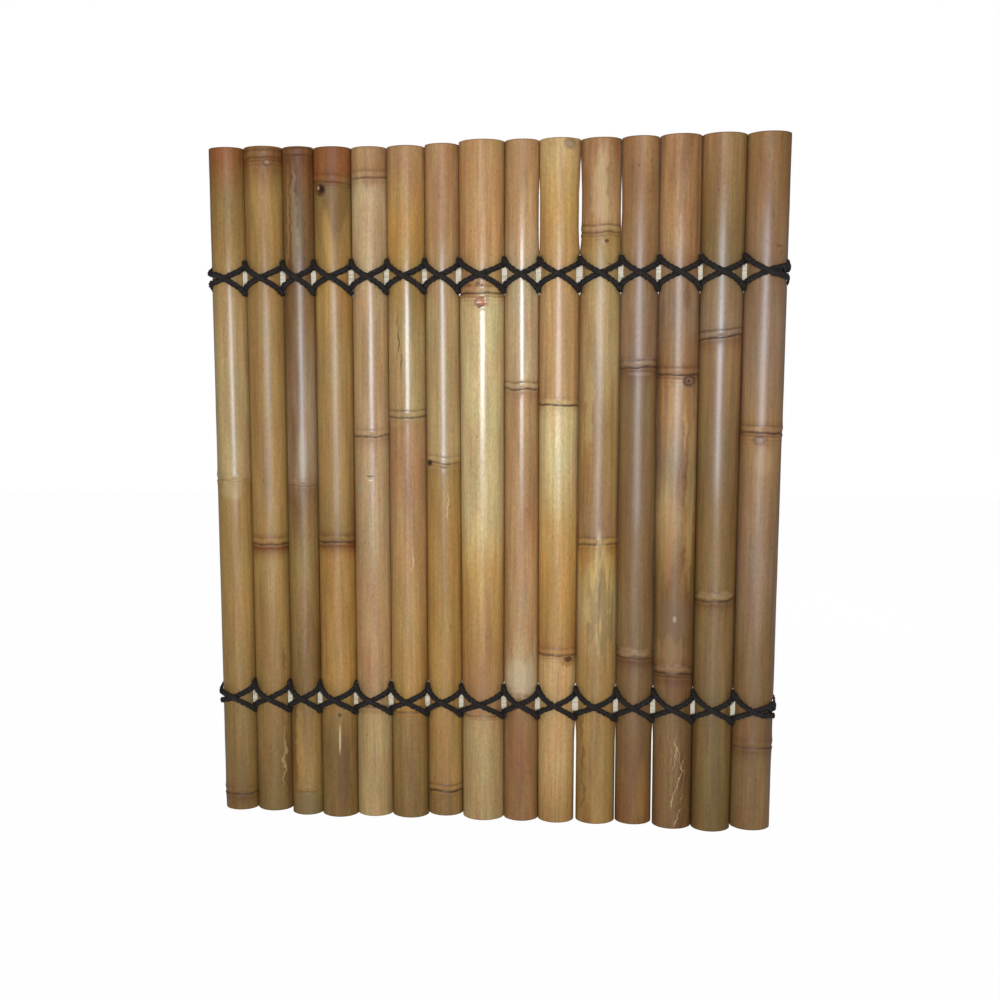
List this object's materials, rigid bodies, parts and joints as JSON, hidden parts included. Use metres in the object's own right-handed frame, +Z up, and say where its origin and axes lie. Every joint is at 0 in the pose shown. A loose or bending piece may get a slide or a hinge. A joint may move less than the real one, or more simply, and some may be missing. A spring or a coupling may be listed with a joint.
{
  "type": "bamboo fence panel",
  "caption": "Upright fence panel of hollow round bamboo poles side by side, threaded on cross rods and lashed with crossed black fibre rope.",
  "frame": {"origin": "bottom centre of the panel's box, on the ground under its longest poles", "axes": "+Z up along the poles, +X along the width to the right seen from the front, the lashed front faces -Y"},
  "size_m": [0.8551, 0.0869, 1],
  "materials": {
    "bamboo": "varnished dried bamboo",
    "pale_rod": "bare pale wood",
    "black_rope": "dyed fibre rope"
  },
  "bodies": {
    "root": {"pole_01": "bamboo", "pole_02": "bamboo", "pole_03": "bamboo", "pole_04": "bamboo", "pole_05": "bamboo", "pole_06": "bamboo", "pole_07": "bamboo", "pole_08": "bamboo", "pole_09": "bamboo", "pole_10": "bamboo", "pole_11": "bamboo", "pole_12": "bamboo", "pole_13": "bamboo", "pole_14": "bamboo", "pole_15": "bamboo", "upper_rod": "pale_rod", "lower_rod": "pale_rod", "upper_lashing_rise": "black_rope", "upper_lashing_fall": "black_rope", "lower_lashing_rise": "black_rope", "lower_lashing_fall": "black_rope"}
  },
  "joints": []
}
